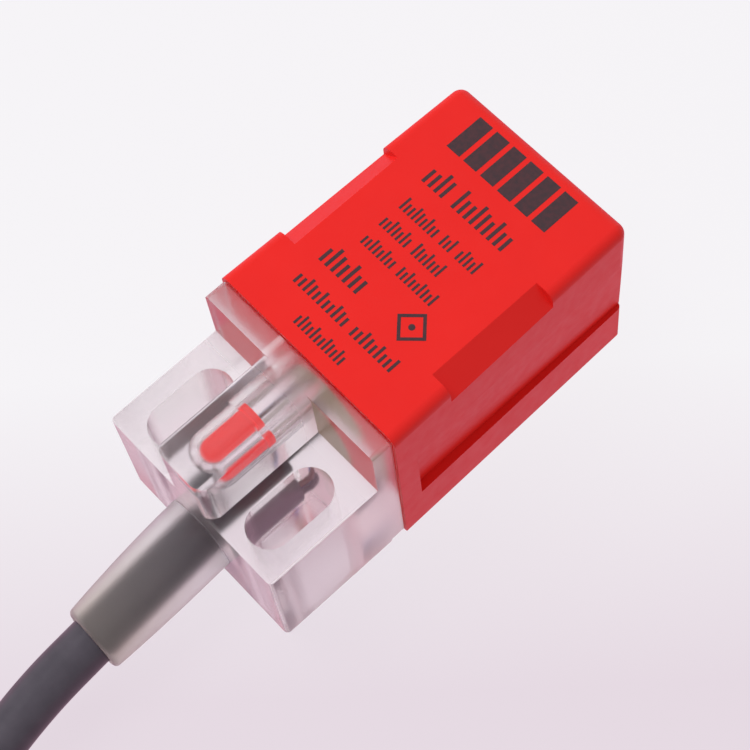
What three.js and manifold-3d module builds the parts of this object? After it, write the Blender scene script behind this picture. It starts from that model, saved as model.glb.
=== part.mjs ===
// Square-bodied inductive proximity sensor with a clear screw-down tail and a moulded-on cable.
//
// Frame, in millimetres: the origin is on the mounting face, midway between the two screw slots.
// +X runs across the body, +Y points out of the sensing end and +Z out of the printed face.
// The red housing is a cup that is open towards the tail and narrows a little towards the sensing face.
// The clear rear cap plugs it, carries the two screw slots and the lamp rib, and holds the cable.

import * as THREE from 'three';
import { mergeVertices } from 'three/addons/utils/BufferGeometryUtils.js';
import Module from 'manifold-3d';

const wasm = await Module();
wasm.setup();

// ---------------------------------------------------------------- driving dimensions
const JOINT_WIDTH = 18.6; // across the housing where it meets the clear cap
const FACE_WIDTH = 17.7; // across the housing at the sensing face
const HEIGHT = 18;
const LENGTH = 36;
const TAIL_Y = -4.95; // rear face of the clear cap
const FACE_Y = TAIL_Y + LENGTH; // sensing face
const JOINT_Y = 7.3; // where the red housing meets the clear cap
const SEAM = 0.05; // visible gap between neighbouring pieces
const GAP = 0.3; // clearance round a piece that sits in a cut pocket
const OVERSHOOT = 1; // how far a cutter reaches past the surface that it cuts

const HOUSING = { wall: 1.5, faceWall: 1.0, labelEdge: 0.9, baseEdge: 0.4, corner: 0.7, faceEdge: 0.5, inner: 1.5 };
const NOTCH = { start: 12.8, end: 23.1, inner: 7.3, drop: 1.8 };
const GROOVE = { start: 9.2, top: 12.7, topDepth: 0.25, ledge: 5.15, floor: 8.48 };

const CAP = { width: 18, top: 17.55, flange: 1.85, wingTop: 11.6, edge: 0.5 };
const RIB = { width: 5.1, corner: 1.1 };
const SLOT = { pitch: 11, width: 3.7, length: 7.5 };
const SPIGOT = { length: 3.0, clearance: 0.15, wall: 1.15, cavityStart: 6.5 };

const LAMP = { z: 15.15, tip: -3.2, back: 2.1, radius: 1.5, rim: 1.75, rimThickness: 0.5, clearance: 0.15 };
const LAMP_LEG = { pitch: 2.54, thickness: 0.45, end: 12.2 };

const CABLE = { z: 5.1, radius: 1.95, bore: 1.45, innerEnd: 3.0, outerEnd: -34 };
const CORE = { radius: 0.55, bore: 0.33, ring: 0.72, outerEnd: -40, fan: 1.3 };
const CONDUCTOR = { radius: 0.25, outerEnd: -43.5 };
const SLEEVE = { root: 3.16, mouth: 2.7, end: -16.4, bore: 2.15, plug: 2.65, plugEnd: -1.8 };
const BEND = { start: -4, lean: 0.077, easeIn: 2, straight: 15, curl: 0.008, drop: 2.9, dropLength: 15.5 };

const FERRITE = { front: 30.0, back: 25.8, radius: 7.0, rim: 1.2, post: 3.0, hole: 1.4, web: 1.2 };
const BOBBIN = { tube: 3.2, wall: 0.35, flange: 5.5, clearance: 0.1 };
const BOARD = { halfWidth: 6.2, start: 9.2, end: 24.8, bottom: 13.2, thickness: 0.8 };
const POTTING = { start: 12.8, end: 25.4, inset: 0.3 };

const COIL_Z = HEIGHT / 2;
const BOARD_TOP = BOARD.bottom + BOARD.thickness;
const HALF = JOINT_WIDTH / 2;
const CAP_HALF = CAP.width / 2;
const FLANGE_Y = JOINT_Y - CAP.flange;

// ---------------------------------------------------------------- colours and materials
const finish = (color, roughness, metalness = 0, extra = {}) =>
  new THREE.MeshStandardMaterial({ color, roughness, metalness, ...extra });

const MATERIAL = {
  housing: finish(0xea3a30, 0.32),
  clear: finish(0xe6dce2, 0.08, 0, { transparent: true, opacity: 0.45 }),
  lampRed: finish(0xe0201c, 0.1, 0, { transparent: true, opacity: 0.8 }),
  sleeve: finish(0xdcd2d4, 0.35, 0, { transparent: true, opacity: 0.7 }),
  jacket: finish(0x4c4a50, 0.55),
  brown: finish(0x6b3a1e, 0.45),
  blue: finish(0x1f56b8, 0.45),
  black: finish(0x17171a, 0.45),
  tinned: finish(0xc4c4c6, 0.3, 1),
  ferrite: finish(0x2c2b2d, 0.75),
  bobbin: finish(0xe8e2d2, 0.5),
  winding: finish(0xa85a2a, 0.35, 0.8),
  board: finish(0x1f5a34, 0.5),
  chip: finish(0x1b1b1d, 0.5),
  ceramic: finish(0xb59a74, 0.5),
  tantalum: finish(0xd8a02c, 0.5),
  resistor: finish(0x202228, 0.4),
  diodeGlass: finish(0xc0552e, 0.2),
  resin: finish(0x39372f, 0.6),
};

// ---------------------------------------------------------------- solids
function solid(geometry) {
  geometry.deleteAttribute('normal');
  geometry.deleteAttribute('uv');
  const merged = mergeVertices(geometry, 1e-5);
  const index = Array.from(merged.index.array);
  const kept = [];
  for (let i = 0; i < index.length; i += 3) {
    const [a, b, c] = index.slice(i, i + 3);
    if (a !== b && b !== c && c !== a) kept.push(a, b, c);
  }
  const vertProperties = new Float32Array(merged.attributes.position.array);
  const triVerts = new Uint32Array(kept);
  return new wasm.Manifold(new wasm.Mesh({ numProp: 3, vertProperties, triVerts }));
}

function geometryOf(shape) {
  const mesh = shape.getMesh();
  const geometry = new THREE.BufferGeometry();
  geometry.setAttribute('position', new THREE.BufferAttribute(mesh.vertProperties, 3));
  geometry.setIndex(new THREE.BufferAttribute(mesh.triVerts, 1));
  geometry.computeVertexNormals();
  return geometry;
}

const join = (...shapes) => shapes.reduce((whole, piece) => whole.add(piece));
const hull = (...shapes) => wasm.Manifold.hull(shapes);
const cut = (shape, ...tools) => tools.reduce((whole, tool) => whole.subtract(tool), shape);

function boxGeometry([x0, x1], [y0, y1], [z0, z1]) {
  const geometry = new THREE.BoxGeometry(x1 - x0, y1 - y0, z1 - z0);
  return geometry.translate((x0 + x1) / 2, (y0 + y1) / 2, (z0 + z1) / 2);
}

const box = (x, y, z) => solid(boxGeometry(x, y, z));

// A rectangle whose corners have the radii [lower left, lower right, upper right, upper left].
function roundedRectangle([x0, x1], [y0, y1], [r0, r1, r2, r3]) {
  const shape = new THREE.Shape();
  shape.moveTo(x0 + r0, y0);
  shape.lineTo(x1 - r1, y0);
  if (r1 > 0) shape.absarc(x1 - r1, y0 + r1, r1, -Math.PI / 2, 0);
  shape.lineTo(x1, y1 - r2);
  if (r2 > 0) shape.absarc(x1 - r2, y1 - r2, r2, 0, Math.PI / 2);
  shape.lineTo(x0 + r3, y1);
  if (r3 > 0) shape.absarc(x0 + r3, y1 - r3, r3, Math.PI / 2, Math.PI);
  shape.lineTo(x0, y0 + r0);
  if (r0 > 0) shape.absarc(x0 + r0, y0 + r0, r0, Math.PI, 1.5 * Math.PI);
  return shape;
}

function polygon(points) {
  return new THREE.Shape(points.map(([x, y]) => new THREE.Vector2(x, y)));
}

function extrude(shape, depth, curveSegments = 5) {
  return new THREE.ExtrudeGeometry(shape, { depth, curveSegments, bevelEnabled: false });
}

// Prisms along each axis. The shape's two coordinates are the other two axes in X, Y, Z order.
function prismX(shape, [x0, x1], segments) {
  const turn = new THREE.Matrix4().makeBasis(
    new THREE.Vector3(0, 1, 0), new THREE.Vector3(0, 0, 1), new THREE.Vector3(1, 0, 0));
  return solid(extrude(shape, x1 - x0, segments).applyMatrix4(turn).translate(x0, 0, 0));
}

function prismY(shape, [y0, y1], segments) {
  return solid(extrude(shape, y1 - y0, segments).rotateX(Math.PI / 2).translate(0, y1, 0));
}

function prismZ(shape, [z0, z1], segments) {
  return solid(extrude(shape, z1 - z0, segments).translate(0, 0, z0));
}

// A turned shape round an axis parallel to Y at height z. The profile is [radius, y] pairs.
function turned(profile, z = 0, segments = 24) {
  const points = profile.map(([r, y]) => new THREE.Vector2(r, y));
  return new THREE.LatheGeometry(points, segments).translate(0, 0, z);
}

function rod(radius, [y0, y1], z, segments) {
  return turned([[0, y0], [radius, y0], [radius, y1], [0, y1]], z, segments);
}

// ---------------------------------------------------------------- red housing
// Half the housing's width at y: mould draft narrows it evenly from the joint to the sensing face.
function draftedHalf(y) {
  const share = (y - JOINT_Y) / (FACE_Y - JOINT_Y);
  return HALF + (FACE_WIDTH - JOINT_WIDTH) / 2 * share;
}

function drafted(shape) {
  return shape.warp((point) => {
    point[0] *= draftedHalf(point[1]) / HALF;
  });
}

function notchCutter(side) {
  const outside = HALF + OVERSHOOT;
  const slope = NOTCH.drop / (HALF - NOTCH.inner);
  const shape = polygon([
    [side * NOTCH.inner, HEIGHT],
    [side * NOTCH.inner, HEIGHT + OVERSHOOT],
    [side * outside, HEIGHT + OVERSHOOT],
    [side * outside, HEIGHT - slope * (outside - NOTCH.inner)],
  ]);
  return prismY(shape, [NOTCH.start, NOTCH.end]);
}

// The side groove: its wall leans in downwards, ends on a flat ledge and is shallower at the sensing face.
function grooveCutter(side) {
  const slice = (y, thickness) => {
    const half = draftedHalf(y);
    const shape = polygon([
      [side * (half + OVERSHOOT), GROOVE.top + OVERSHOOT],
      [side * (half - GROOVE.topDepth), GROOVE.top - GROOVE.topDepth],
      [side * GROOVE.floor, GROOVE.ledge],
      [side * (half + OVERSHOOT), GROOVE.ledge],
    ]);
    return prismY(shape, [y, y + thickness]);
  };
  return hull(slice(GROOVE.start, SEAM), slice(FACE_Y, OVERSHOOT));
}

function housing() {
  const { wall, faceWall, labelEdge, baseEdge, corner, faceEdge, inner } = HOUSING;
  const section = roundedRectangle([-HALF, HALF], [0, HEIGHT], [baseEdge, baseEdge, labelEdge, labelEdge]);
  const plan = roundedRectangle([-HALF, HALF], [JOINT_Y, FACE_Y], [0, 0, corner, corner]);
  const profile = roundedRectangle([JOINT_Y, FACE_Y], [0, HEIGHT], [0, baseEdge, faceEdge, 0]);
  const outer = prismY(section, [JOINT_Y, FACE_Y])
    .intersect(prismZ(plan, [0, HEIGHT]))
    .intersect(prismX(profile, [-HALF, HALF]));
  const bore = roundedRectangle([wall - HALF, HALF - wall], [wall, HEIGHT - wall], Array(4).fill(inner));
  const cavity = prismY(bore, [JOINT_Y - OVERSHOOT, FACE_Y - faceWall], 4);
  const cutters = [-1, 1].flatMap((side) => [notchCutter(side), grooveCutter(side)]);
  return geometryOf(cut(drafted(cut(outer, cavity)), ...cutters));
}

// ---------------------------------------------------------------- clear rear cap
function capWings() {
  const plan = roundedRectangle(
    [-CAP_HALF, CAP_HALF], [TAIL_Y, FLANGE_Y + CAP.edge], [CAP.edge, CAP.edge, 0, 0]);
  return prismZ(plan, [0, CAP.wingTop]);
}

function capRib() {
  const half = RIB.width / 2;
  const y = [TAIL_Y, FLANGE_Y + CAP.edge];
  const plan = roundedRectangle([-half, half], y, [RIB.corner, RIB.corner, 0, 0]);
  return prismZ(plan, [CAP.wingTop - OVERSHOOT, CAP.top], 8);
}

function capFlange() {
  const radii = Array(4).fill(CAP.edge);
  const section = roundedRectangle([-CAP_HALF, CAP_HALF], [0, CAP.top], radii);
  return prismY(section, [FLANGE_Y, JOINT_Y - SEAM]);
}

function capSpigot() {
  const inset = HOUSING.wall + SPIGOT.clearance;
  const half = HALF - inset;
  const z = [inset, HEIGHT - inset];
  const section = roundedRectangle([-half, half], z, Array(4).fill(HOUSING.inner));
  return prismY(section, [JOINT_Y - OVERSHOOT, JOINT_Y + SPIGOT.length], 4);
}

function capCavity() {
  const margin = HOUSING.wall + SPIGOT.clearance + SPIGOT.wall;
  return box(
    [margin - HALF, HALF - margin],
    [SPIGOT.cavityStart, JOINT_Y + SPIGOT.length + OVERSHOOT],
    [margin, HEIGHT - margin]);
}

function screwSlot(side) {
  const x = side * SLOT.pitch / 2;
  const radius = SLOT.width / 2;
  const half = SLOT.length / 2;
  const plan = roundedRectangle([x - radius, x + radius], [-half, half], Array(4).fill(radius));
  return prismZ(plan, [-OVERSHOOT, CAP.wingTop + OVERSHOOT], 8);
}

function rearCap() {
  const body = join(capWings(), capRib(), capFlange(), capSpigot());
  const lampBore = turned(lampProfile(LAMP.clearance, JOINT_Y + SPIGOT.length + OVERSHOOT), LAMP.z, 24);
  const plugBore = rod(SLEEVE.plug + SEAM * 3, [TAIL_Y - OVERSHOOT, SLEEVE.plugEnd + GAP], CABLE.z, 24);
  const cableBore = rod(
    CABLE.radius + SEAM * 3, [TAIL_Y - OVERSHOOT, SPIGOT.cavityStart + OVERSHOOT], CABLE.z, 24);
  const openings = [capCavity(), solid(lampBore), solid(plugBore), solid(cableBore)];
  return geometryOf(cut(body, ...openings, screwSlot(-1), screwSlot(1)));
}

// ---------------------------------------------------------------- cable and strain relief
// How far the cable's centre line has moved sideways and down at a given y: it leans evenly as far as
// the end of the sleeve, then curls sideways and falls towards the surface that the sensor rests on.
function cableOffset(y) {
  const run = Math.max(0, BEND.start - y);
  const free = Math.max(0, run - BEND.straight);
  const lean = BEND.lean * (Math.hypot(run, BEND.easeIn) - BEND.easeIn);
  const drop = BEND.drop * free * free / (free * free + BEND.dropLength * BEND.dropLength);
  return [lean + BEND.curl * free * free, -drop];
}

function bendWithCable(geometry) {
  const position = geometry.attributes.position;
  for (let i = 0; i < position.count; i += 1) {
    const [side, rise] = cableOffset(position.getY(i));
    position.setX(i, position.getX(i) + side);
    position.setZ(i, position.getZ(i) + rise);
  }
  return geometry;
}

// Points from y0 to y1 at one radius, close enough together to follow the bend.
function alongCable(radius, y0, y1, step = 2.5) {
  const count = Math.max(1, Math.ceil(Math.abs(y1 - y0) / step));
  return Array.from({ length: count + 1 }, (_, i) => [radius, y0 + (y1 - y0) * i / count]);
}

function cableJacket() {
  const { radius, bore, innerEnd, outerEnd } = CABLE;
  const outside = alongCable(radius, outerEnd, innerEnd);
  const inside = alongCable(bore, innerEnd, outerEnd);
  return bendWithCable(turned([...outside, ...inside, outside[0]], CABLE.z, 20));
}

function strainReliefSleeve() {
  const root = TAIL_Y - SEAM;
  const lip = 0.5;
  const taper = alongCable(0, SLEEVE.end + lip, root).map(([, y]) => {
    const share = (root - y) / (root - SLEEVE.end);
    return [SLEEVE.root + (SLEEVE.mouth - SLEEVE.root) * share * share, y];
  });
  const mouth = [[SLEEVE.bore, SLEEVE.end], [SLEEVE.mouth - lip / 2, SLEEVE.end]];
  const plug = [[SLEEVE.plug, root], [SLEEVE.plug, SLEEVE.plugEnd]];
  const bore = alongCable(SLEEVE.bore, SLEEVE.plugEnd, SLEEVE.end);
  return bendWithCable(turned([...mouth, ...taper, ...plug, ...bore], CABLE.z, 24));
}

// One insulated core: through the cable, then up to its pad under the board.
function corePath(angle, padX, innerEnd, outerEnd) {
  const ringX = CORE.ring * Math.cos(angle);
  const ringZ = CABLE.z + CORE.ring * Math.sin(angle);
  const inCable = (y, spread = 1) => {
    const [side, rise] = cableOffset(y);
    return new THREE.Vector3(ringX * spread + side, y, ringZ + rise);
  };
  const underBoard = BOARD.bottom - CORE.radius - SEAM;
  const points = [
    inCable(CONDUCTOR.outerEnd, 1 + 2 * CORE.fan),
    inCable(CORE.outerEnd, 1 + CORE.fan),
    inCable(CABLE.outerEnd),
  ];
  for (let y = CABLE.outerEnd + 5; y < CABLE.innerEnd; y += 5) points.push(inCable(y));
  points.push(inCable(CABLE.innerEnd));
  points.push(inCable(SPIGOT.cavityStart));
  points.push(new THREE.Vector3(padX * 0.6, 8.6, (ringZ + underBoard) / 2));
  points.push(new THREE.Vector3(padX, 10.4, underBoard - 0.5));
  points.push(new THREE.Vector3(padX, 12.5, underBoard));
  const whole = new THREE.CatmullRomCurve3(points, false, 'centripetal');
  return sectionOfCurve(whole, outerEnd, innerEnd);
}

// The stretch of a curve that runs from y = y0 to y = y1, with y rising all the way.
function sectionOfCurve(curve, y0, y1) {
  const samples = curve.getSpacedPoints(240).filter((point) => point.y >= y0 && point.y <= y1);
  const picked = samples.filter((_, i) => i % 6 === 0 || i === samples.length - 1);
  return new THREE.CatmullRomCurve3(picked, false, 'centripetal');
}

function circle(radius, segments) {
  const points = Array.from({ length: segments }, (_, i) => {
    const angle = 2 * Math.PI * i / segments;
    return new THREE.Vector2(radius * Math.cos(angle), radius * Math.sin(angle));
  });
  return points;
}

function sweep(shape, path, steps) {
  return new THREE.ExtrudeGeometry(shape, { extrudePath: path, steps, bevelEnabled: false });
}

const CORES = [
  { name: 'brown', angle: Math.PI / 2, padX: 0 },
  { name: 'blue', angle: Math.PI * 7 / 6, padX: -3 },
  { name: 'black', angle: Math.PI * 11 / 6, padX: 3 },
];

function insulatedCore({ angle, padX }) {
  const shape = new THREE.Shape(circle(CORE.radius, 8));
  shape.holes.push(new THREE.Path(circle(CORE.bore, 6)));
  return sweep(shape, corePath(angle, padX, 11.0, CORE.outerEnd), 38);
}

function conductor({ angle, padX }) {
  const shape = new THREE.Shape(circle(CONDUCTOR.radius, 6));
  return sweep(shape, corePath(angle, padX, 12.4, CONDUCTOR.outerEnd), 42);
}

// ---------------------------------------------------------------- indicator lamp
// The lamp's dome, body and rim up to y = end, grown by a clearance. The bore it sits in is the same shape.
function lampProfile(clearance, end) {
  const { tip, back, radius, rim, rimThickness } = LAMP;
  const grown = radius + clearance;
  const steps = 6;
  const dome = Array.from({ length: steps + 1 }, (_, i) => {
    const angle = Math.PI / 2 * i / steps;
    return [grown * Math.sin(angle), tip + radius - grown * Math.cos(angle)];
  });
  const rimFront = back - rimThickness - clearance;
  return [...dome, [grown, rimFront], [rim + clearance, rimFront], [rim + clearance, end], [0, end]];
}

function indicatorLamp() {
  return turned(lampProfile(0, LAMP.back), LAMP.z, 24);
}

function lampLeg(side) {
  const x = side * LAMP_LEG.pitch / 2;
  const half = LAMP_LEG.thickness / 2;
  const onBoard = BOARD_TOP + half + SEAM;
  const path = new THREE.CatmullRomCurve3([
    new THREE.Vector3(x, LAMP.back + SEAM, LAMP.z),
    new THREE.Vector3(x, 5.5, LAMP.z),
    new THREE.Vector3(x, 8.2, LAMP.z - 0.1),
    new THREE.Vector3(x, 10.0, onBoard + 0.25),
    new THREE.Vector3(x, 11.0, onBoard),
    new THREE.Vector3(x, LAMP_LEG.end, onBoard),
  ], false, 'centripetal');
  const square = polygon([[-half, -half], [half, -half], [half, half], [-half, half]]);
  return sweep(square, path, 12);
}

// ---------------------------------------------------------------- sensing coil
function ferriteCore() {
  const { front, back, radius, rim, post, hole, web } = FERRITE;
  const floor = back + web;
  const cup = solid(turned([
    [hole, back], [radius, back], [radius, front], [radius - rim, front], [radius - rim, floor],
    [post, floor], [post, front], [hole, front], [hole, back],
  ], COIL_Z, 32));
  const leadSlot = box([-1.6, 1.6], [back - 1, front + 1], [COIL_Z + radius - rim - 0.8, COIL_Z + radius + 1]);
  return geometryOf(cut(cup, leadSlot));
}

const BOBBIN_BACK = FERRITE.back + FERRITE.web + BOBBIN.clearance;
const BOBBIN_FRONT = FERRITE.front - BOBBIN.clearance;

function coilBobbin() {
  const { tube, wall, flange } = BOBBIN;
  const barrel = tube + wall;
  return turned([
    [tube, BOBBIN_BACK], [flange, BOBBIN_BACK], [flange, BOBBIN_BACK + wall],
    [barrel, BOBBIN_BACK + wall], [barrel, BOBBIN_FRONT - wall], [flange, BOBBIN_FRONT - wall],
    [flange, BOBBIN_FRONT], [tube, BOBBIN_FRONT], [tube, BOBBIN_BACK],
  ], COIL_Z, 28);
}

function coilWinding() {
  const { tube, wall, flange, clearance } = BOBBIN;
  const inner = tube + wall + clearance;
  const outer = flange - 0.3;
  const back = BOBBIN_BACK + wall + clearance;
  const front = BOBBIN_FRONT - wall - clearance;
  return turned([[inner, back], [outer, back], [outer, front], [inner, front], [inner, back]], COIL_Z, 28);
}

// The two winding ends leave through the slot in the ferrite rim and land on the board.
function coilLead(side) {
  const slotZ = COIL_Z + BOBBIN.flange + 0.45;
  const landing = BOARD_TOP + 0.25;
  const path = new THREE.CatmullRomCurve3([
    new THREE.Vector3(side * 0.6, BOBBIN_FRONT - 1.2, slotZ),
    new THREE.Vector3(side * 0.7, FERRITE.back + 0.6, slotZ),
    new THREE.Vector3(side * 1.0, FERRITE.back - 0.6, (slotZ + landing) / 2),
    new THREE.Vector3(side * 1.3, BOARD.end - 0.3, landing),
    new THREE.Vector3(side * 1.4, BOARD.end - 1.2, landing),
  ], false, 'centripetal');
  return sweep(new THREE.Shape(circle(0.15, 6)), path, 14);
}

// ---------------------------------------------------------------- circuit board and its parts
function circuitBoard() {
  const { halfWidth, start, end, bottom } = BOARD;
  const z = [bottom, BOARD_TOP];
  const slab = box([-halfWidth, halfWidth], [start, end], z);
  const corner = 0.8;
  const ears = [-1, 1].map((side) => {
    const x = [side * halfWidth - corner, side * halfWidth + corner];
    return box(x, [end - corner, end + 1], [bottom - 1, BOARD_TOP + 1]);
  });
  return geometryOf(cut(slab, ...ears));
}

// Every board part is described by its centre, its size and the face it is soldered to.
const BOARD_PARTS = [
  { name: 'oscillator_chip', face: 'top', x: 0, y: 19.2, size: [3.9, 4.9, 1.45], leads: 4 },
  { name: 'tuning_capacitor', face: 'top', x: 4.2, y: 21.6, size: [1.6, 3.2, 1.1] },
  { name: 'trim_resistor', face: 'top', x: -4.4, y: 21.6, size: [1.25, 2.0, 0.6] },
  { name: 'bias_resistor', face: 'top', x: -4.4, y: 18.2, size: [1.25, 2.0, 0.6] },
  { name: 'lamp_resistor', face: 'top', x: 3.4, y: 14.8, size: [3.2, 1.6, 0.6] },
  { name: 'decoupling_capacitor', face: 'top', x: -2.2, y: 14.8, size: [2.0, 1.25, 0.9] },
  { name: 'output_transistor', face: 'bottom', x: 3.2, y: 15.6, size: [4.5, 2.5, 1.5], leads: 3 },
  { name: 'supply_capacitor', face: 'bottom', x: -3.2, y: 15.9, size: [3.5, 2.8, 1.9] },
  { name: 'load_resistor', face: 'bottom', x: 3.4, y: 20.2, size: [3.2, 1.6, 0.6] },
];
const DIODES = [
  { name: 'polarity_diode', x: -3.4, y: 20.0 },
  { name: 'clamp_diode', x: -3.4, y: 22.6 },
];
const DIODE = { radius: 0.7, length: 3.4, cap: 0.5 };

function partHeights({ face, size }) {
  if (face === 'top') return [BOARD_TOP + SEAM, BOARD_TOP + SEAM + size[2]];
  return [BOARD.bottom - SEAM - size[2], BOARD.bottom - SEAM];
}

function boardPart(part) {
  const { x, y, size, leads = 0, face } = part;
  const z = partHeights(part);
  let shape = box([x - size[0] / 2, x + size[0] / 2], [y - size[1] / 2, y + size[1] / 2], z);
  const foot = face === 'top' ? [z[0], z[0] + 0.5] : [z[1] - 0.5, z[1]];
  const pitch = size[1] / Math.max(1, leads);
  for (let i = 0; i < leads; i += 1) {
    const leadY = y - size[1] / 2 + pitch * (i + 0.5);
    const reach = size[0] / 2 + 0.8;
    shape = shape.add(box([x - reach, x + reach], [leadY - pitch / 5, leadY + pitch / 5], foot));
  }
  return geometryOf(shape);
}

const diodeZ = BOARD.bottom - SEAM * 2 - DIODE.radius;

function diode({ x, y }) {
  const { radius, length, cap } = DIODE;
  const half = length / 2;
  const waist = radius - 0.1;
  const body = turned([
    [0, -half], [radius, -half], [radius, cap - half], [waist, cap - half],
    [waist, half - cap], [radius, half - cap], [radius, half], [0, half],
  ], 0, 12);
  return body.rotateZ(Math.PI / 2).translate(x, y, diodeZ);
}

function grown([low, high], margin = GAP) {
  return [low - margin, high + margin];
}

// The resin block that holds the board, with a clearance pocket round everything on it.
function pottingResin() {
  const margin = HOUSING.wall + POTTING.inset;
  const half = FACE_WIDTH / 2 - margin;
  const section = roundedRectangle([-half, half], [margin, HEIGHT - margin], Array(4).fill(HOUSING.inner));
  const block = prismY(section, [POTTING.start, POTTING.end], 4);
  const boardSlot = box(
    grown([-BOARD.halfWidth, BOARD.halfWidth]), [POTTING.start - 1, POTTING.end + 1],
    grown([BOARD.bottom, BOARD_TOP]));
  const pockets = BOARD_PARTS.map((part) => {
    const reach = part.size[0] / 2 + (part.leads ? 0.8 : 0);
    const x = grown([part.x - reach, part.x + reach]);
    const y = grown([part.y - part.size[1] / 2, part.y + part.size[1] / 2]);
    return box(x, y, grown(partHeights(part)));
  });
  const diodePockets = DIODES.map(({ x, y }) => box(
    grown([x - DIODE.length / 2, x + DIODE.length / 2]),
    grown([y - DIODE.radius, y + DIODE.radius]),
    grown([diodeZ - DIODE.radius, diodeZ + DIODE.radius])));
  const leadPocket = box([-2, 2], [BOARD.end - 1.6, POTTING.end + 1], [BOARD_TOP, BOARD_TOP + 1.6]);
  return geometryOf(cut(block, boardSlot, ...pockets, ...diodePockets, leadPocket));
}

// ---------------------------------------------------------------- assembly
const sensor = new THREE.Group();

function place(name, geometry, material) {
  const mesh = new THREE.Mesh(geometry, material);
  mesh.name = name;
  sensor.add(mesh);
}

place('housing', housing(), MATERIAL.housing);
place('rear_cap', rearCap(), MATERIAL.clear);
place('strain_relief_sleeve', strainReliefSleeve(), MATERIAL.sleeve);
place('cable_jacket', cableJacket(), MATERIAL.jacket);
for (const core of CORES) {
  place(`${core.name}_core`, insulatedCore(core), MATERIAL[core.name]);
  place(`${core.name}_conductor`, conductor(core), MATERIAL.tinned);
}

place('indicator_lamp', indicatorLamp(), MATERIAL.lampRed);
place('lamp_anode_leg', lampLeg(-1), MATERIAL.tinned);
place('lamp_cathode_leg', lampLeg(1), MATERIAL.tinned);

place('ferrite_core', ferriteCore(), MATERIAL.ferrite);
place('coil_bobbin', coilBobbin(), MATERIAL.bobbin);
place('coil_winding', coilWinding(), MATERIAL.winding);
place('coil_lead_start', coilLead(-1), MATERIAL.winding);
place('coil_lead_finish', coilLead(1), MATERIAL.winding);

const PART_MATERIAL = {
  oscillator_chip: MATERIAL.chip,
  output_transistor: MATERIAL.chip,
  tuning_capacitor: MATERIAL.ceramic,
  decoupling_capacitor: MATERIAL.ceramic,
  supply_capacitor: MATERIAL.tantalum,
};
place('circuit_board', circuitBoard(), MATERIAL.board);
for (const part of BOARD_PARTS) {
  place(part.name, boardPart(part), PART_MATERIAL[part.name] ?? MATERIAL.resistor);
}
for (const part of DIODES) place(part.name, diode(part), MATERIAL.diodeGlass);
place('potting_resin', pottingResin(), MATERIAL.resin);

export default sensor;
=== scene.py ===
"""Looks of the square inductive proximity sensor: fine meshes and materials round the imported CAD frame.

Shapes are modelled in millimetres in the frame's own axes (+X across the body, +Y out of the sensing end,
+Z out of the printed face) and scaled to metres when a piece is finished.
"""

import functools
import math

import bmesh
import bpy
from mathutils import Matrix, Vector


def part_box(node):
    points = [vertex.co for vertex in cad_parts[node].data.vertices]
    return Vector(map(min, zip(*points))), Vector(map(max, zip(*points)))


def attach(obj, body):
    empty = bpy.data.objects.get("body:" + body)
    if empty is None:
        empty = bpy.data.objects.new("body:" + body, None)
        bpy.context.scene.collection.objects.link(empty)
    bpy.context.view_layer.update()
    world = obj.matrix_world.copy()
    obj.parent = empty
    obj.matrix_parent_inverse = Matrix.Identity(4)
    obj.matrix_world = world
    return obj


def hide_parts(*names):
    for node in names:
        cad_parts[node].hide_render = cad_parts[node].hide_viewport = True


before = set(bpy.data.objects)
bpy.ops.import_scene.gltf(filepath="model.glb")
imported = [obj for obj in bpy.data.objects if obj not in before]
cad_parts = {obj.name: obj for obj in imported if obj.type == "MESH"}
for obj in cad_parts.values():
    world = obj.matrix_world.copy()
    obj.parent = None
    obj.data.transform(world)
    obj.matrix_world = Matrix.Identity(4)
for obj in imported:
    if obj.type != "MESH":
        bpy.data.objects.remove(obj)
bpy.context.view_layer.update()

MM = 0.001
SIDES = (-1, 1)


class Extent:
    """A CAD node's box in millimetres."""

    def __init__(self, node):
        low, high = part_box(node)
        self.x0, self.y0, self.z0 = (round(value / MM, 4) for value in low)
        self.x1, self.y1, self.z1 = (round(value / MM, 4) for value in high)


# ---------------------------------------------------------------- sizes, in millimetres
BODY = Extent("housing")
CAP = Extent("rear_cap")
LAMP = Extent("indicator_lamp")
SLEEVE = Extent("strain_relief_sleeve")
JACKET = Extent("cable_jacket")

HALF = BODY.x1
TOP = BODY.z1
JOINT_Y = BODY.y0
FACE_Y = BODY.y1
TAIL_Y = CAP.y0
CAP_HALF = CAP.x1
CAP_TOP = CAP.z1
SEAM = 0.05  # gap left between neighbouring pieces

FACE_HALF = 8.85
WALL = 1.5
FACE_WALL = 1.0
LABEL_EDGE = 0.95
BASE_EDGE = 0.3
INNER_EDGE = 1.5
HOUSING_CUT_ROUND = 0.18

NOTCH_Y = (12.8, 23.1)
NOTCH_INNER = 7.3
NOTCH_DROP = 1.8
GROOVE_START = 9.2
GROOVE_TOP = 12.7
GROOVE_TOP_DEPTH = 0.25
GROOVE_LEDGE = 5.15
GROOVE_FLOOR = 8.48

FLANGE_Y = JOINT_Y - 1.85
CAP_EDGE = 0.4
CAP_CUT_ROUND = 0.22
WING_TOP = 11.6
RIB_HALF = 2.55
RIB_CORNER = 1.1
RIB_ROUND = 0.6
SLOT_X = 5.5
SLOT_WIDTH = 3.7
SLOT_LENGTH = 7.5
SPIGOT_LENGTH = 3.0
SPIGOT_WALL = 1.15
SPIGOT_CLEARANCE = 0.15

FILM_MARGIN = 0.2
FILM_THICKNESS = 0.05
FILM_GAP = 0.02

LAMP_Z = (LAMP.z0 + LAMP.z1) / 2
LAMP_RADIUS = 1.5
LAMP_RIM = (LAMP.z1 - LAMP.z0) / 2
LAMP_RIM_THICKNESS = 0.5
LAMP_CLEARANCE = 0.3

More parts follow.
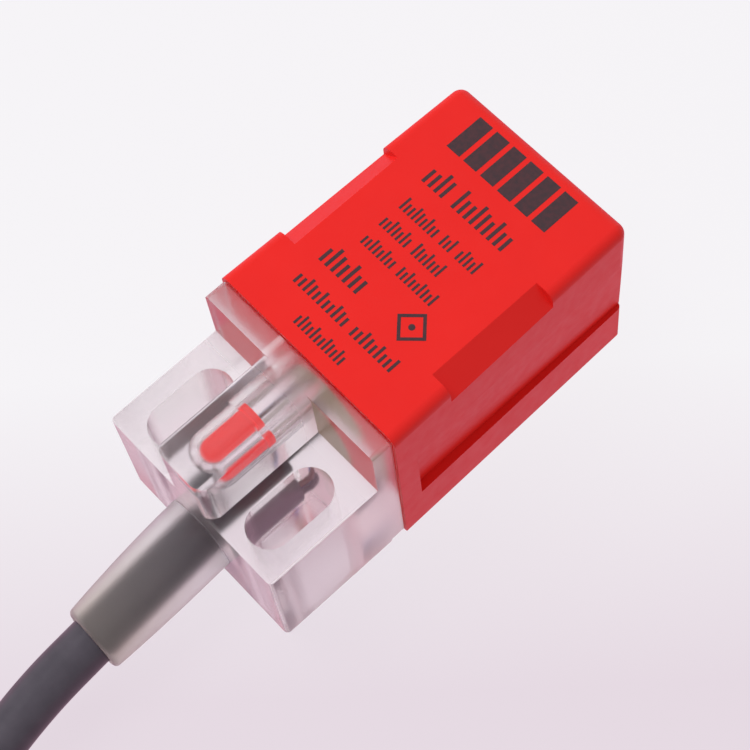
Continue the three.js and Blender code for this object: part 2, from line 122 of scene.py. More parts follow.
CABLE_Z = 5.1
CABLE_RADIUS = 1.95
CABLE_BORE = 1.45
CABLE_END_BEVEL = 0.1
SLEEVE_ROOT = 3.16
SLEEVE_MOUTH = 2.7
SLEEVE_BORE = 2.15
SLEEVE_LIP = 0.45
BEND_START = -4
BEND_LEAN = 0.077
BEND_EASE_IN = 2
BEND_STRAIGHT = 15
BEND_CURL = 0.008
BEND_DROP = 2.9
BEND_DROP_LENGTH = 15.5

ARC_STEPS = 12  # per quarter turn


# ---------------------------------------------------------------- colour and materials
def linear(red, green, blue):
    """A colour given as 0 to 255 display values, as linear RGBA."""

    def channel(value):
        share = value / 255
        return share / 12.92 if share <= 0.04045 else ((share + 0.055) / 1.055) ** 2.4

    return (channel(red), channel(green), channel(blue), 1.0)


RANGE_INPUTS = ("From Min", "From Max", "To Min", "To Max")


class Surface:
    """A node-based material: one Principled shader with helpers for colour variation and fine bump."""

    def __init__(self, name, color, roughness, **inputs):
        self.material = bpy.data.materials.new(name)
        self.material.use_nodes = True
        self.tree = self.material.node_tree
        self.shader = self.tree.nodes["Principled BSDF"]
        self.shader.inputs["Base Color"].default_value = color
        self.shader.inputs["Roughness"].default_value = roughness
        for key, value in inputs.items():
            self.shader.inputs[key.replace("_", " ")].default_value = value
        self.color = color
        self.coordinates = self.tree.nodes.new("ShaderNodeTexCoord")

    def link(self, source, target):
        self.tree.links.new(source, target)

    def noise(self, scale, detail=4.0, stretch=(1, 1, 1)):
        """Noise in object space; scale is in features per metre, squeezed by stretch."""
        mapping = self.tree.nodes.new("ShaderNodeMapping")
        mapping.inputs["Scale"].default_value = stretch
        self.link(self.coordinates.outputs["Object"], mapping.inputs["Vector"])
        noise = self.tree.nodes.new("ShaderNodeTexNoise")
        noise.inputs["Scale"].default_value = scale
        noise.inputs["Detail"].default_value = detail
        self.link(mapping.outputs["Vector"], noise.inputs["Vector"])
        return noise.outputs["Fac"]

    def spread(self, factor, low, high, out_low, out_high):
        """Maps factor from low..high to out_low..out_high."""
        node = self.tree.nodes.new("ShaderNodeMapRange")
        for name, value in zip(RANGE_INPUTS, (low, high, out_low, out_high)):
            node.inputs[name].default_value = value
        self.link(factor, node.inputs["Value"])
        return node.outputs["Result"]

    def along(self, direction, low, high, out_low=0.0, out_high=1.0):
        """Maps the distance along a direction, from low to high millimetres, to out_low..out_high."""
        dot = self.tree.nodes.new("ShaderNodeVectorMath")
        dot.operation = "DOT_PRODUCT"
        dot.inputs[1].default_value = direction
        self.link(self.coordinates.outputs["Object"], dot.inputs[0])
        return self.spread(dot.outputs["Value"], low * MM, high * MM, out_low, out_high)

    def blend(self, factor, color, other):
        """A colour output that goes from one colour to another; either may be another node's output."""
        mix = self.tree.nodes.new("ShaderNodeMix")
        mix.data_type = "RGBA"
        for key, value in (("A", color), ("B", other)):
            socket = next(item for item in mix.inputs if item.name == key and item.type == "RGBA")
            if isinstance(value, tuple):
                socket.default_value = value
            else:
                self.link(value, socket)
        self.link(factor, mix.inputs["Factor"])
        return next(item for item in mix.outputs if item.type == "RGBA")

    def combined(self, operation, first, second):
        """The result of a maths node on two outputs."""
        node = self.tree.nodes.new("ShaderNodeMath")
        node.operation = operation
        self.link(first, node.inputs[0])
        self.link(second, node.inputs[1])
        return node.outputs["Value"]

    def largest(self, factors):
        """The largest of several outputs."""
        return functools.reduce(lambda first, second: self.combined("MAXIMUM", first, second), factors)

    def mottle(self, factor, other, amount):
        """Blends the base colour towards another by a noise factor."""
        mixed = self.blend(self.spread(factor, 0.35, 0.65, 0.0, amount), self.color, other)
        self.link(mixed, self.shader.inputs["Base Color"])
        return self

    def vary_roughness(self, factor, low, high):
        self.link(self.spread(factor, 0.3, 0.7, low, high), self.shader.inputs["Roughness"])
        return self

    def bump(self, factor, height, strength=1.0):
        """Fine relief; height is in millimetres."""
        node = self.tree.nodes.new("ShaderNodeBump")
        node.inputs["Strength"].default_value = strength
        node.inputs["Distance"].default_value = height * MM
        self.link(factor, node.inputs["Height"])
        self.link(node.outputs["Normal"], self.shader.inputs["Normal"])
        return self


def housing_red():
    skin = Surface("housing_red", linear(234, 36, 31), 0.36, IOR=1.46, Specular_IOR_Level=0.25)
    skin.mottle(skin.noise(260), linear(229, 33, 29), 0.5)
    skin.vary_roughness(skin.noise(900, 6), 0.31, 0.42)
    return skin.bump(skin.noise(2600, 3), 0.003).material


def clear_plastic():
    """Clear polycarbonate, polished over the lamp.

    It is duller on its right side, from the rib's left flank on, towards the tail and towards the joint. Its
    right side and tail are a little cloudy, and the rib's left flank is more so.
    """
    skin = Surface("clear_plastic", linear(252, 245, 247), 0.1, IOR=1.5)
    polished = 0.14
    right_side = (CAP_HALF - 0.3, CAP_HALF - 0.1)
    tail_side = (-TAIL_Y - 0.3, -TAIL_Y - 0.1)
    finishes = (
        ((1, 0, 0), right_side, 0.3),
        ((-1, 0, 0), (RIB_HALF - 0.3, RIB_HALF - 0.1), 0.2),
        ((0, -1, 0), (1.2, 3.2), 0.26),
        ((0, 1, 0), (LAMP.y1 - 0.2, FLANGE_Y), 0.33),
    )
    roughness = skin.largest(skin.along(way, *reach, polished, rough) for way, reach, rough in finishes)
    skin.link(roughness, skin.shader.inputs["Roughness"])
    flank_weight = 4.0
    flank = skin.along((-1, 0, 0), RIB_HALF - 0.5, RIB_HALF - 0.1, 0.0, flank_weight)
    beyond_flank = skin.along((-1, 0, 0), RIB_HALF + 0.1, RIB_HALF + 0.3, 0.0, -flank_weight)
    cloudiness = skin.largest((
        skin.along((1, 0, 0), *right_side),
        skin.along((0, -1, 0), *tail_side),
        skin.combined("ADD", flank, beyond_flank),
    ))
    clear = skin.spread(cloudiness, 0, 1, 0.985, 0.91)
    clear.node.clamp = False
    skin.link(clear, skin.shader.inputs["Transmission Weight"])
    return skin.material


def lamp_red():
    """Tinted epoxy with a painted glow: a weak emission stands in for the light it gathers from all round.
    """
    skin = Surface(
        "lamp_red", linear(224, 6, 4), 0.12, IOR=1.5, Transmission_Weight=0.1, Specular_IOR_Level=0.15)
    # painted glow: this emission is painted light standing in for light the epoxy gathers
    skin.shader.inputs["Emission Color"].default_value = linear(240, 20, 10)
    skin.shader.inputs["Emission Strength"].default_value = 0.42
    return skin.bump(skin.noise(900, 2), 0.003).material


def adhesive_film_painted_glow():
    """The bond behind the cap, with a painted glow: brownish in an oval, red round it, paler lower down, and
    it emits these colours as painted light.
    """
    skin = Surface("adhesive_film_painted_glow", linear(120, 102, 82), 0.45)
    oval = {"X": ((1, 0, 0), 1.3, 4.4), "Z": ((0, 0, 1), 10.8, 5.4)}
    offsets = skin.tree.nodes.new("ShaderNodeCombineXYZ")
    for axis, (direction, centre, reach) in oval.items():
        offset = skin.along(direction, centre, centre + reach)
        offset.node.clamp = False
        skin.link(offset, offsets.inputs[axis])
    distance = skin.tree.nodes.new("ShaderNodeVectorMath")
    distance.operation = "LENGTH"
    skin.link(offsets.outputs["Vector"], distance.inputs[0])
    outside_oval = skin.spread(distance.outputs["Value"], 0.93, 1.08, 0.0, 1.0)
    upper = skin.blend(outside_oval, skin.color, linear(160, 0, 14))
    fade_top, fade_bottom = 9.5, 6.5
    lower_down = skin.along((0, 0, -1), -fade_top, -fade_bottom)
    skin.link(skin.blend(lower_down, upper, linear(230, 204, 208)), skin.shader.inputs["Base Color"])
    # painted glow: the film emits its colours, paler lower down, as painted light
    skin.link(skin.blend(lower_down, upper, linear(164, 144, 148)), skin.shader.inputs["Emission Color"])
    skin.shader.inputs["Emission Strength"].default_value = 0.8
    return skin.bump(skin.noise(500, 4), 0.03).material


def sleeve_milky():
    """Milky tubing that turns hazier towards its mouth."""
    skin = Surface("sleeve_milky", linear(248, 240, 242), 0.1, IOR=1.45, Transmission_Weight=1.0)
    root_length = 2
    hazy = skin.along((0, -1, 0), -TAIL_Y + root_length, -SLEEVE.y0)
    skin.link(skin.blend(hazy, skin.color, linear(242, 232, 224)), skin.shader.inputs["Base Color"])
    skin.link(skin.spread(hazy, 0, 1, 0.3, 0.34), skin.shader.inputs["Roughness"])
    skin.link(skin.spread(hazy, 0, 1, 0.99, 0.96), skin.shader.inputs["Transmission Weight"])
    return skin.bump(skin.noise(300, 2), 0.004).material


def vinyl(name, color, darker, roughness=0.45):
    """Soft extruded plastic with fine marks along its length."""
    skin = Surface(name, color, roughness, IOR=1.45)
    skin.mottle(skin.noise(600, 6), darker, 0.6)
    skin.vary_roughness(skin.noise(1200, 5, (1, 0.2, 1)), roughness - 0.07, roughness + 0.08)
    return skin.bump(skin.noise(2400, 4, (1, 0.35, 1)), 0.012).material


def tinned_copper():
    skin = Surface("tinned_copper", linear(206, 204, 202), 0.28, Metallic=1.0)
    skin.mottle(skin.noise(2500, 5), linear(176, 168, 156), 0.7)
    return skin.bump(skin.noise(4000, 4), 0.01).material


def enamelled_copper():
    skin = Surface("enamelled_copper", linear(178, 92, 44), 0.3, Metallic=0.85)
    skin.mottle(skin.noise(1800, 5), linear(130, 58, 26), 0.6)
    return skin.bump(skin.noise(3000, 4), 0.01).material


def ferrite_grey():
    skin = Surface("ferrite_grey", linear(52, 51, 54), 0.7)
    skin.mottle(skin.noise(3000, 8), linear(80, 78, 80), 0.5)
    return skin.bump(skin.noise(4500, 6), 0.03).material


def board_green():
    skin = Surface("board_green", linear(28, 92, 52), 0.42)
    skin.mottle(skin.noise(450, 2, (1, 3, 1)), linear(46, 128, 72), 0.7)
    return skin.bump(skin.noise(1500, 4), 0.01).material


def moulded(name, color, other, roughness=0.55):
    """A small opaque part with an even, slightly mottled finish."""
    skin = Surface(name, color, roughness)
    skin.mottle(skin.noise(2200, 6), other, 0.5)
    return skin.bump(skin.noise(3600, 5), 0.012).material


def print_ink():
    skin = Surface("print_ink", linear(48, 26, 32), 0.5)
    skin.mottle(skin.noise(2600, 6), linear(74, 32, 38), 0.6)
    return skin.bump(skin.noise(4000, 4), 0.004).material


# ---------------------------------------------------------------- mesh building
def rounded_outline(u, v, radii=(0, 0, 0, 0)):
    """A rectangle's outline with the corner radii lower left, lower right, upper right, upper left."""
    corners = ((u[0], v[0], 1, 1), (u[1], v[0], -1, 1), (u[1], v[1], -1, -1), (u[0], v[1], 1, -1))
    points = []
    for turn, ((cu, cv, inward_u, inward_v), radius) in enumerate(zip(corners, radii)):
        if radius == 0:
            points.append((cu, cv))
            continue
        centre = (cu + inward_u * radius, cv + inward_v * radius)
        start = math.pi + turn * math.pi / 2
        for step in range(ARC_STEPS + 1):
            angle = start + math.pi / 2 * step / ARC_STEPS
            points.append((centre[0] + radius * math.cos(angle), centre[1] + radius * math.sin(angle)))
    return points


PRISM_AXES = {"y": lambda u, v, w: (u, w, v), "z": lambda u, v, w: (u, v, w)}


def new_object(name, bm):
    mesh = bpy.data.meshes.new(name)
    bm.to_mesh(mesh)
    bm.free()
    made = bpy.data.objects.new(name, mesh)
    bpy.context.scene.collection.objects.link(made)
    return made


def add_prism(bm, outline, axis, low, high, far_outline=None):
    """The outline swept along Y or Z; its two coordinates are the other axes in X, Y, Z order."""
    placed = PRISM_AXES[axis]
    outlines = ((outline, low), (far_outline or outline, high))
    ends = [[bm.verts.new(placed(u, v, w)) for u, v in shape] for shape, w in outlines]
    bm.faces.new(ends[0])
    bm.faces.new(ends[1])
    count = len(outline)
    for i in range(count):
        j = (i + 1) % count
        bm.faces.new((ends[0][i], ends[0][j], ends[1][j], ends[1][i]))
    bmesh.ops.recalc_face_normals(bm, faces=bm.faces)


def prism(outline, axis, low, high, far_outline=None):
    bm = bmesh.new()
    add_prism(bm, outline, axis, low, high, far_outline)
    return new_object("tool", bm)


def box(x, y, z):
    return prism(rounded_outline(x, y), "z", *z)


def turned(profile, z=0.0, segments=48, follow=None):
    """A profile of (radius, y) pairs turned round an axis parallel to Y at height z.

    A profile that ends on the axis is closed there; any other profile closes on itself.
    """
    bm = bmesh.new()
    rings = []
    for radius, y in profile:
        if radius < 1e-6:
            rings.append([bm.verts.new((0, y, z))])
            continue
        angles = (2 * math.pi * i / segments for i in range(segments))
        rings.append([bm.verts.new((radius * math.cos(a), y, z + radius * math.sin(a))) for a in angles])
    pairs = list(zip(rings, rings[1:]))
    if len(rings[0]) > 1:
        pairs.append((rings[-1], rings[0]))
    for near, far in pairs:
        for i in range(segments):
            j = (i + 1) % segments
            if len(near) == 1:
                bm.faces.new((near[0], far[i], far[j]))
            elif len(far) == 1:
                bm.faces.new((near[i], near[j], far[0]))
            else:
                bm.faces.new((near[i], near[j], far[j], far[i]))
    bmesh.ops.recalc_face_normals(bm, faces=bm.faces)
    if follow:
        for vertex in bm.verts:
            vertex.co += Vector(follow(vertex.co.y))
    return new_object("tool", bm)


def apply_modifiers(target):
    graph = bpy.context.evaluated_depsgraph_get()
    target.data = bpy.data.meshes.new_from_object(target.evaluated_get(graph))
    target.modifiers.clear()


def combine(target, operation, *tools):
    """Cuts, joins or intersects the target with each tool in turn, and uses the tools up."""
    for tool in tools:
        modifier = target.modifiers.new("combine", "BOOLEAN")
        modifier.operation = operation
        modifier.solver = "EXACT"
        modifier.object = tool
        apply_modifiers(target)
        bpy.data.objects.remove(tool)
    return target


def soften(target, width):
    """Rounds the crisp edges that cutting left."""
    bm = bmesh.new()
    bm.from_mesh(target.data)
    bmesh.ops.dissolve_limit(bm, angle_limit=math.radians(0.4), verts=bm.verts, edges=bm.edges)
    bm.to_mesh(target.data)
    bm.free()
    modifier = target.modifiers.new("soften", "BEVEL")
    modifier.width = width
    modifier.segments = 3
    modifier.limit_method = "ANGLE"
    modifier.angle_limit = math.radians(32)
    modifier.use_clamp_overlap = True
    modifier.miter_outer = "MITER_ARC"
    apply_modifiers(target)
    return target


def finish_piece(target, name, material, slot, *nodes):
    """Scales a piece to metres, shades and paints it, and hands it to the frame."""
    target.name = name
    target.data.name = name
    target.data.transform(Matrix.Scale(MM, 4))
    target.data.materials.clear()
    target.data.materials.append(material)
    for polygon in target.data.polygons:
        polygon.use_smooth = True
    target.data.set_sharp_from_angle(angle=math.radians(40))
    weighted = target.modifiers.new("normals", "WEIGHTED_NORMAL")
    weighted.keep_sharp = True
    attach(target, "root")
    if nodes:
        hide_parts(*nodes)
    return target


# ---------------------------------------------------------------- red housing
def drafted_half(y):
    """Half the housing's width at y: it narrows evenly from the joint to the sensing face."""
    return HALF + (FACE_HALF - HALF) * (y - JOINT_Y) / (FACE_Y - JOINT_Y)


def draft(target):
    """Narrows a block of full width as the housing narrows."""
    for vertex in target.data.vertices:
        vertex.co.x *= drafted_half(vertex.co.y) / HALF
    return target


def notch_tool(side):
    outside = HALF + 1
    slope = NOTCH_DROP / (HALF - NOTCH_INNER)
    outline = [
        (side * NOTCH_INNER, TOP),
        (side * NOTCH_INNER, TOP + 1),
        (side * outside, TOP + 1),
        (side * outside, TOP - slope * (outside - NOTCH_INNER)),
    ]
    return prism(outline, "y", *NOTCH_Y)


def groove_tool(side):
    """The side groove: its wall leans in downwards and ends on a flat ledge, shallower towards the face."""
    ends = (GROOVE_START, FACE_Y + 1)
    near, far = (
        [
            (side * (drafted_half(y) + 1), GROOVE_TOP + 1),
            (side * (drafted_half(y) - GROOVE_TOP_DEPTH), GROOVE_TOP - GROOVE_TOP_DEPTH),
            (side * GROOVE_FLOOR, GROOVE_LEDGE),
            (side * (drafted_half(y) + 1), GROOVE_LEDGE),
        ]
        for y in ends
    )
    return prism(near, "y", *ends, far_outline=far)


def ball(centre, radius):
    """Points evenly spread in angle over a sphere."""
    points = set()
    for i in range(2 * ARC_STEPS + 1):
        latitude = math.pi * (i / (2 * ARC_STEPS) - 0.5)
        ring = radius * math.cos(latitude)
        for j in range(4 * ARC_STEPS):
            turn = 2 * math.pi * j / (4 * ARC_STEPS)
            offset = (ring * math.cos(turn), ring * math.sin(turn), radius * math.sin(latitude))
            points.add(tuple(round(c + o, 5) for c, o in zip(centre, offset)))
    return points


def housing_block():
    """The housing's outside: the hull of a rounded section at the joint and a ball in each far corner."""
    radii = (BASE_EDGE, BASE_EDGE, LABEL_EDGE, LABEL_EDGE)
    section = rounded_outline((-HALF, HALF), (0, TOP), radii)
    points = {(x, JOINT_Y, z) for x, z in section}
    for side in SIDES:
        for radius, z in ((BASE_EDGE, BASE_EDGE), (LABEL_EDGE, TOP - LABEL_EDGE)):
            points |= ball((side * (HALF - radius), FACE_Y - radius, z), radius)
    bm = bmesh.new()
    for point in sorted(points):
        bm.verts.new(point)
    hull = bmesh.ops.convex_hull(bm, input=bm.verts)
    inside = [item for item in hull["geom_interior"] if isinstance(item, bmesh.types.BMVert)]
    bmesh.ops.delete(bm, geom=inside, context="VERTS")
    return new_object("block", bm)


def build_housing():
    body = housing_block()
    bore = rounded_outline((WALL - HALF, HALF - WALL), (WALL, TOP - WALL), [INNER_EDGE] * 4)
    combine(body, "DIFFERENCE", prism(bore, "y", JOINT_Y - 1, FACE_Y - FACE_WALL))
    draft(body)
    combine(body, "DIFFERENCE", *map(notch_tool, SIDES), *map(groove_tool, SIDES))
    soften(body, HOUSING_CUT_ROUND)
    return finish_piece(body, "housing_shell", housing_red(), "housing_red", "housing")


# ---------------------------------------------------------------- printed marks
INK_THICKNESS = 0.015
BAR_SHARE = 0.76
STROKE_SHARE = 0.48
STROKE_HEIGHTS = (1.0, 0.7, 0.7, 1.0, 0.7, 0.85)


def add_mark(bm, outline):
    add_prism(bm, outline, "z", TOP - INK_THICKNESS, TOP + INK_THICKNESS)


def add_bar_band(bm, x, y, count):
    """A bold band of bars."""
    pitch = (x[1] - x[0]) / count
    for i in range(count):
        left = x[0] + i * pitch
        add_mark(bm, rounded_outline((left, left + BAR_SHARE * pitch), y))


def add_strokes(bm, x, y, pitch, words):
    """A row of short upright strokes in groups, as a stand-in for a line of small print.

    words holds the number of strokes in each group; the last group may run on to the end of the row.
    """
    stroke = STROKE_SHARE * pitch
    slots = round((x[1] - x[0]) / pitch)
    gaps = {sum(words[:i + 1]) + i for i in range(len(words) - 1)}
    for i in range(slots):
        if i in gaps:
            continue
        left = x[0] + i * pitch
        share = STROKE_HEIGHTS[(len(words) - i) % len(STROKE_HEIGHTS)]
        add_mark(bm, rounded_outline((left, left + stroke), (y[0], y[0] + (y[1] - y[0]) * share)))


def add_diamond(bm, centre, half, width):
    """A plain diamond outline with a dot in it."""
    corners = [(half, 0), (0, half), (-half, 0), (0, -half)]
    share = 1 - width * math.sqrt(2) / half
    for (ax, ay), (bx, by) in zip(corners, corners[1:] + corners[:1]):
        side = [(ax, ay), (bx, by), (bx * share, by * share), (ax * share, ay * share)]
        add_mark(bm, [(centre[0] + px, centre[1] + py) for px, py in side])
    dot = rounded_outline(*[(c - width, c + width) for c in centre], [width] * 4)
    add_mark(bm, dot)


def build_print():
    """The printed face's marks, from the sensing end to the joint."""
    bm = bmesh.new()
    add_bar_band(bm, (-5.5, 5.2), (26.35, 29.85), 6)
    add_strokes(bm, (-4.7, 4.2), (23.0, 24.9), 0.62, (4, 9))
    add_strokes(bm, (-4.2, 3.7), (20.25, 21.45), 0.42, (9, 3, 4))
    add_strokes(bm, (-4.2, 2.2), (18.25, 19.45), 0.42, (7, 6))
    add_strokes(bm, (-4.1, 3.5), (16.3, 17.4), 0.42, (8, 7))
    add_strokes(bm, (-5.2, -0.7), (13.2, 15.0), 0.62, (7,))
    add_diamond(bm, (3.6, 14.3), 1.5, 0.26)
    add_strokes(bm, (-5.2, 5.3), (10.7, 11.9), 0.5, (11, 8))
    add_strokes(bm, (-2.7, 2.4), (8.5, 9.6), 0.42, (12,))
    marks = new_object("marks", bm)
    return finish_piece(marks, "label_print", print_ink(), "chip_black")


# ---------------------------------------------------------------- clear rear cap
def screw_slot_tool(side):
    radius = SLOT_WIDTH / 2
    x = side * SLOT_X
    outline = rounded_outline((x - radius, x + radius), (-SLOT_LENGTH / 2, SLOT_LENGTH / 2), [radius] * 4)
    return prism(outline, "z", -1, WING_TOP + 1)


def lamp_outline(clearance):
    """The lamp's dome, body and rim front, grown by a clearance, as (radius, y) pairs."""
    radius = LAMP_RADIUS + clearance
    centre = LAMP.y0 + LAMP_RADIUS
    steps = 16
    angles = (math.pi / 2 * i / steps for i in range(steps + 1))
    dome = [(radius * math.sin(angle), centre - radius * math.cos(angle)) for angle in angles]
    rim_y = LAMP.y1 - LAMP_RIM_THICKNESS - clearance
    return [*dome, (radius, rim_y), (LAMP_RIM + clearance, rim_y)]


def rib_block(y):
    """The raised rib, rounded at its tail corners and along its top."""
    plan = rounded_outline((-RIB_HALF, RIB_HALF), y, (RIB_CORNER, RIB_CORNER, 0, 0))
    section = rounded_outline((-RIB_HALF, RIB_HALF), (0, CAP_TOP), (0, 0, RIB_ROUND, RIB_ROUND))
    rib = prism(plan, "z", WING_TOP - 1, CAP_TOP)
    return combine(rib, "INTERSECT", prism(section, "y", y[0] - 1, y[1] + 1))


def build_rear_cap():
    """Wings, rib, flange and spigot in one piece, hollow inside the spigot and bored for the lamp."""
    behind_flange = (TAIL_Y, FLANGE_Y + 0.5)
    wing_plan = rounded_outline((-CAP_HALF, CAP_HALF), behind_flange, (CAP_EDGE, CAP_EDGE, 0, 0))
    wings = prism(wing_plan, "z", 0, WING_TOP)
    flange_section = rounded_outline((-CAP_HALF, CAP_HALF), (0, CAP_TOP), [CAP_EDGE] * 4)
    flange = prism(flange_section, "y", FLANGE_Y, JOINT_Y - SEAM)
    inset = WALL + SPIGOT_CLEARANCE
    spigot_section = rounded_outline((inset - HALF, HALF - inset), (inset, TOP - inset), [INNER_EDGE] * 4)
    spigot = prism(spigot_section, "y", JOINT_Y - 1, JOINT_Y + SPIGOT_LENGTH)
    body = combine(wings, "UNION", rib_block(behind_flange), flange, spigot)
    margin = inset + SPIGOT_WALL
    far = JOINT_Y + SPIGOT_LENGTH + 1
    cavity = box((margin - HALF, HALF - margin), (JOINT_Y, far), (margin, TOP - margin))
    bore_profile = [*lamp_outline(LAMP_CLEARANCE), (LAMP_RIM + LAMP_CLEARANCE, far), (0, far)]
    combine(body, "DIFFERENCE", cavity, turned(bore_profile, LAMP_Z, 96), *map(screw_slot_tool, SIDES))
    soften(body, CAP_CUT_ROUND)
    return finish_piece(body, "rear_cap_clear", clear_plastic(), "clear_plastic", "rear_cap")


def build_adhesive_film():
    """The bond between flange and housing, just inside the clear flange's end; it carries a painted glow."""
    wide = CAP_HALF - FILM_MARGIN
    outline = rounded_outline((-wide, wide), (FILM_MARGIN, CAP_TOP - FILM_MARGIN), [CAP_EDGE] * 4)
    back = JOINT_Y - SEAM - FILM_GAP
    film = prism(outline, "y", back - FILM_THICKNESS, back)
    return finish_piece(film, "adhesive_film_painted_glow", adhesive_film_painted_glow(), "potting_resin")


# ---------------------------------------------------------------- cable and sleeve
def cable_offset(y):
    """How far the cable's centre line has moved at a given y, as (x, y, z)."""
    run = max(0.0, BEND_START - y)
    free = max(0.0, run - BEND_STRAIGHT)
    lean = BEND_LEAN * (math.hypot(run, BEND_EASE_IN) - BEND_EASE_IN)
    drop = BEND_DROP * free * free / (free * free + BEND_DROP_LENGTH ** 2)
    return (lean + BEND_CURL * free * free, 0.0, -drop)


def rail(radius, y0, y1, step=0.6):
    """Points (radius, y) at even steps from y0 to y1, close enough for the cable's bend."""
    count = max(1, math.ceil(abs(y1 - y0) / step))
    return [(radius, y0 + (y1 - y0) * i / count) for i in range(count + 1)]


def build_jacket():
    bevel = CABLE_END_BEVEL
    outside = rail(CABLE_RADIUS, JACKET.y0 + bevel, JACKET.y1 - bevel)
    inside = rail(CABLE_BORE, JACKET.y1, JACKET.y0)
    near_end = (CABLE_RADIUS - bevel, JACKET.y1)
    far_end = (CABLE_RADIUS - bevel, JACKET.y0)
    body = turned([*outside, near_end, *inside, far_end], CABLE_Z, 64, cable_offset)
    skin = vinyl("cable_grey", linear(74, 68, 77), linear(60, 55, 64), 0.36)
    return finish_piece(body, "cable_jacket_skin", skin, "cable_grey", "cable_jacket")


def build_sleeve():
    """A tube that tapers towards a rounded mouth, where the cable leaves it."""
    y0 = SLEEVE.y0
    y1 = TAIL_Y - SEAM
    taper = []
    for _, y in rail(0, y0 + SLEEVE_LIP, y1):
        share = (y1 - y) / (y1 - y0)
        taper.append((SLEEVE_ROOT + (SLEEVE_MOUTH - SLEEVE_ROOT) * share * share, y))
    lip_radius, lip_y = taper[0][0] - SLEEVE_LIP, y0 + SLEEVE_LIP
    lip_steps = 6
    angles = (math.pi / 2 * i / lip_steps for i in range(lip_steps))
    mouth = [(lip_radius + SLEEVE_LIP * math.sin(a), lip_y - SLEEVE_LIP * math.cos(a)) for a in angles]
    bore = rail(SLEEVE_BORE, TAIL_Y, y0 + 0.2)
    body = turned([*mouth, *taper, *bore], CABLE_Z, 72, cable_offset)
    return finish_piece(body, "strain_relief", sleeve_milky(), "sleeve_clear", "strain_relief_sleeve")


# ---------------------------------------------------------------- lamp
def build_lamp():
    body = turned([*lamp_outline(0), (LAMP_RIM, LAMP.y1), (0, LAMP.y1)], LAMP_Z, 48)
    return finish_piece(body, "lamp_dome", lamp_red(), "lamp_red", "indicator_lamp")


# ---------------------------------------------------------------- parts kept from the frame
def dress_frame_parts():
    """Gives the inner parts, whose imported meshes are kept, their materials."""
    tinned = tinned_copper()
    chip = moulded("chip_black", linear(38, 38, 41), linear(58, 58, 62))
    resistor = moulded("resistor_black", linear(30, 30, 34), linear(70, 68, 66), 0.35)
    ceramic = moulded("capacitor_ceramic", linear(184, 156, 118), linear(160, 130, 92))
    yellow = moulded("capacitor_yellow", linear(220, 164, 48), linear(196, 136, 30))
    glass = moulded("diode_glass", linear(196, 90, 50), linear(120, 40, 28), 0.15)
    looks = {
        "brown_core": vinyl("insulation_brown", linear(112, 62, 34), linear(86, 44, 22)),
        "blue_core": vinyl("insulation_blue", linear(34, 88, 186), linear(22, 62, 146)),
        "black_core": vinyl("insulation_black", linear(34, 34, 38), linear(20, 20, 24)),
        "brown_conductor": tinned,
        "blue_conductor": tinned,
        "black_conductor": tinned,
        "lamp_anode_leg": tinned,
        "lamp_cathode_leg": tinned,
        "ferrite_core": ferrite_grey(),
        "coil_bobbin": moulded("bobbin_plastic", linear(232, 226, 210), linear(214, 206, 188)),
        "coil_winding": enamelled_copper(),
        "circuit_board": board_green(),
        "oscillator_chip": chip,
        "output_transistor": chip,
        "tuning_capacitor": ceramic,
        "decoupling_capacitor": ceramic,
        "supply_capacitor": yellow,
        "trim_resistor": resistor,
        "bias_resistor": resistor,
        "lamp_resistor": resistor,
        "load_resistor": resistor,
        "polarity_diode": glass,
        "clamp_diode": glass,
        "potting_resin": moulded("potting_resin", linear(62, 60, 52), linear(82, 78, 66), 0.4),
    }
    looks["coil_lead_start"] = looks["coil_lead_finish"] = looks["coil_winding"]
    for name, material in looks.items():
        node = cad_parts[name]
        node.data.materials.clear()
        node.data.materials.append(material)


# ---------------------------------------------------------------- stage, light and camera
def emission_floor():
    """A pale floor that glows by itself: near white far left, with painted shade that darkens it to lavender
    towards the near right.

    Mirror reflections see it a little darker and pinker than the camera does.
    """
    surface = Surface("floor_pale", (0.04, 0.04, 0.04, 1), 0.9)
    surface.shader.inputs["Specular IOR Level"].default_value = 0.0
    surface.shader.inputs["Emission Strength"].default_value = 1.0
    # painted shade: the floor darkens to lavender towards the near right
    painted_shade_near_right = surface.along((0.75, -0.66, 0), -12, 15)
    seen = surface.blend(painted_shade_near_right, linear(241, 239, 242), linear(225, 213, 222))
    path = surface.tree.nodes.new("ShaderNodeLightPath")
    mirrored = surface.tree.nodes.new("ShaderNodeMath")
    mirrored.operation = "SUBTRACT"
    mirrored.use_clamp = True
    surface.link(path.outputs["Is Glossy Ray"], mirrored.inputs[0])
    surface.link(path.outputs["Transmission Depth"], mirrored.inputs[1])
    reflected = surface.blend(mirrored.outputs["Value"], seen, linear(222, 172, 196))
    surface.link(reflected, surface.shader.inputs["Emission Color"])
    return surface.material


def build_floor():
    half_size, depth = 1500, 0.05
    bm = bmesh.new()
    bmesh.ops.create_grid(bm, x_segments=1, y_segments=1, size=half_size)
    floor = new_object("floor", bm)
    floor.data.transform(Matrix.Translation((0, 0, -depth)))
    floor.data.transform(Matrix.Scale(MM, 4))
    floor.data.materials.append(emission_floor())


def add_key_light(place, target, size, power):
    """A square lamp that reflections and clear pieces don't show."""
    data = bpy.data.lights.new("key", "AREA")
    data.shape = "SQUARE"
    data.size = size * MM
    data.energy = power
    light = bpy.data.objects.new("key", data)
    bpy.context.scene.collection.objects.link(light)
    light.visible_glossy = False
    light.visible_transmission = False
    light.location = Vector(place) * MM
    light.rotation_euler = (Vector(target) - Vector(place)).to_track_quat("-Z", "Y").to_euler()


SKY_AXIS = (-0.77, 0.1, 0.56)
SKY_RAMP = (-0.35, 0.45)
SKY_DARK = 0.65
SKY_BRIGHT = 1.0
SKY_SHARE_FOR_MATT = 0.54


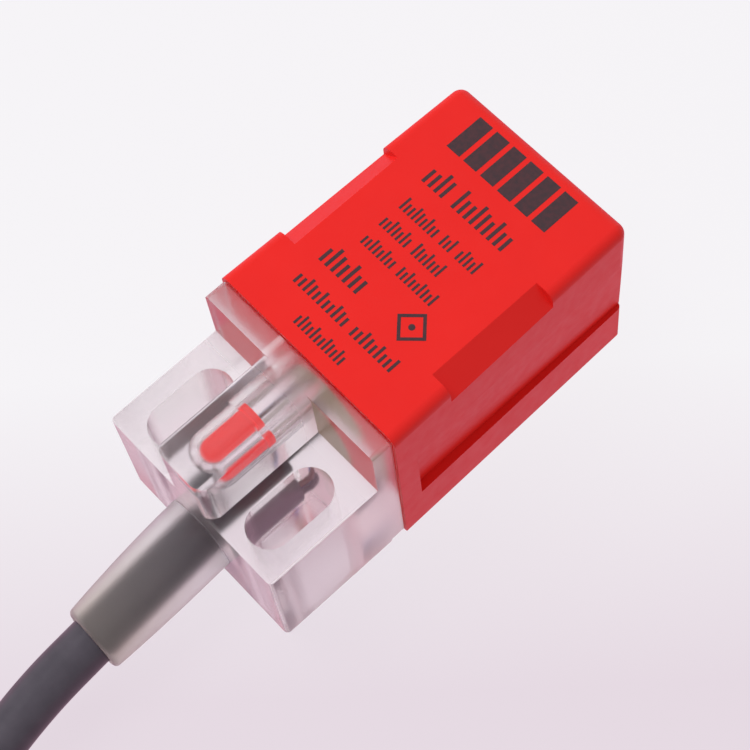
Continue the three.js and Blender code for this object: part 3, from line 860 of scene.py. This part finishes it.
def world_nodes(tree):
    """A white sky that is brightest to the upper left; matt surfaces receive only a share of it."""
    nodes, links = tree.nodes, tree.links
    coordinates = nodes.new("ShaderNodeTexCoord")
    dot = nodes.new("ShaderNodeVectorMath")
    dot.operation = "DOT_PRODUCT"
    dot.inputs[1].default_value = SKY_AXIS
    links.new(coordinates.outputs["Generated"], dot.inputs[0])
    glow = nodes.new("ShaderNodeMapRange")
    glow.interpolation_type = "SMOOTHSTEP"
    for name, value in zip(RANGE_INPUTS, (*SKY_RAMP, SKY_DARK, SKY_BRIGHT)):
        glow.inputs[name].default_value = value
    links.new(dot.outputs["Value"], glow.inputs["Value"])
    path = nodes.new("ShaderNodeLightPath")
    share = nodes.new("ShaderNodeMapRange")
    share.inputs["To Min"].default_value = 1.0
    share.inputs["To Max"].default_value = SKY_SHARE_FOR_MATT
    links.new(path.outputs["Is Diffuse Ray"], share.inputs["Value"])
    strength = nodes.new("ShaderNodeMath")
    strength.operation = "MULTIPLY"
    links.new(glow.outputs["Result"], strength.inputs[0])
    links.new(share.outputs["Result"], strength.inputs[1])
    background = nodes["Background"]
    background.inputs["Color"].default_value = linear(252, 249, 253)
    links.new(strength.outputs["Value"], background.inputs["Strength"])


def light_scene():
    world = bpy.data.worlds.new("studio")
    bpy.context.scene.world = world
    world.use_nodes = True
    world_nodes(world.node_tree)
    add_key_light(place=(-110, -40, 288), target=(0, 12, 9), size=160, power=0.55)


CAMERA_TARGET = (1.11, 12.22, 9.0)
CAMERA_AZIMUTH = math.radians(55.57)
CAMERA_ELEVATION = math.radians(65.45)
CAMERA_ROLL = math.radians(-9.06)
CAMERA_DISTANCE = 151.66
CAMERA_ANGLE = math.radians(21.15)


def place_camera():
    data = bpy.data.cameras.new("camera")
    data.sensor_fit = "HORIZONTAL"
    data.angle = CAMERA_ANGLE
    data.clip_start = 0.001
    camera = bpy.data.objects.new("camera", data)
    bpy.context.scene.collection.objects.link(camera)
    bpy.context.scene.camera = camera
    level = Vector((math.sin(CAMERA_AZIMUTH), -math.cos(CAMERA_AZIMUTH), 0))
    direction = level * math.cos(CAMERA_ELEVATION) + Vector((0, 0, math.sin(CAMERA_ELEVATION)))
    camera.location = (Vector(CAMERA_TARGET) + direction * CAMERA_DISTANCE) * MM
    look = (-direction).to_track_quat("-Z", "Y").to_matrix()
    camera.rotation_euler = (look @ Matrix.Rotation(CAMERA_ROLL, 3, "Z")).to_euler()


build_housing()
build_print()
build_rear_cap()
build_adhesive_film()
build_jacket()
build_sleeve()
build_lamp()
dress_frame_parts()
build_floor()
light_scene()
place_camera()

scene = bpy.context.scene
scene.view_settings.view_transform = "Standard"
scene.cycles.max_bounces = 24
scene.cycles.transmission_bounces = 20
scene.cycles.transparent_max_bounces = 16
